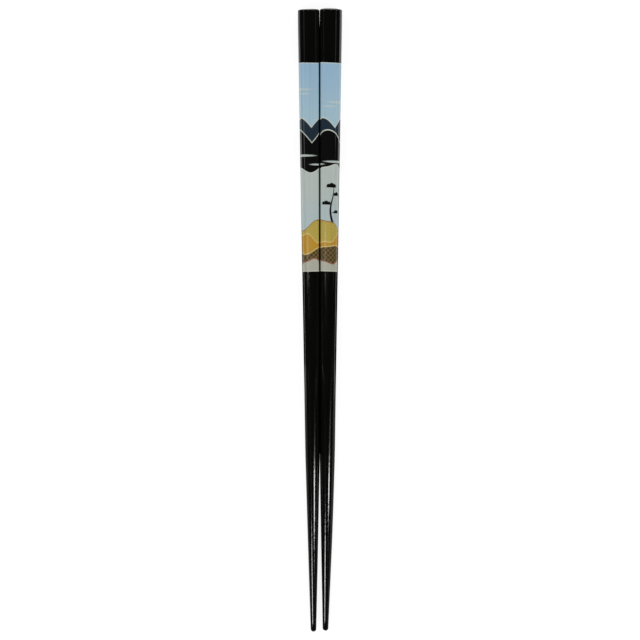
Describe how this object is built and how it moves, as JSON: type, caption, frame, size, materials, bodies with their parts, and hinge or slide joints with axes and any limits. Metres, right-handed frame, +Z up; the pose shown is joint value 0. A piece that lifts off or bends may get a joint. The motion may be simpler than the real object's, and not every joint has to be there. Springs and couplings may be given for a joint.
{
  "type": "pair of wooden chopsticks",
  "caption": "Lacquered wooden chopsticks with a square tapered grip, a printed picture band round the grip and slim rounded tips, for eating.",
  "frame": {"origin": "on the table plane, at the centre of the pair's footprint", "axes": "+Y along the sticks towards the handle ends, +X across the pair towards the right stick, +Z up from the table"},
  "size_m": [0.0156, 0.2253, 0.0078],
  "materials": {
    "black_lacquer": "gloss black lacquer over carved wood",
    "printed_film": "printed picture film under clear gloss lacquer"
  },
  "bodies": {
    "root": {"left_chopstick": "black_lacquer", "right_chopstick": "black_lacquer", "left_picture_band": "printed_film", "right_picture_band": "printed_film"}
  },
  "joints": []
}
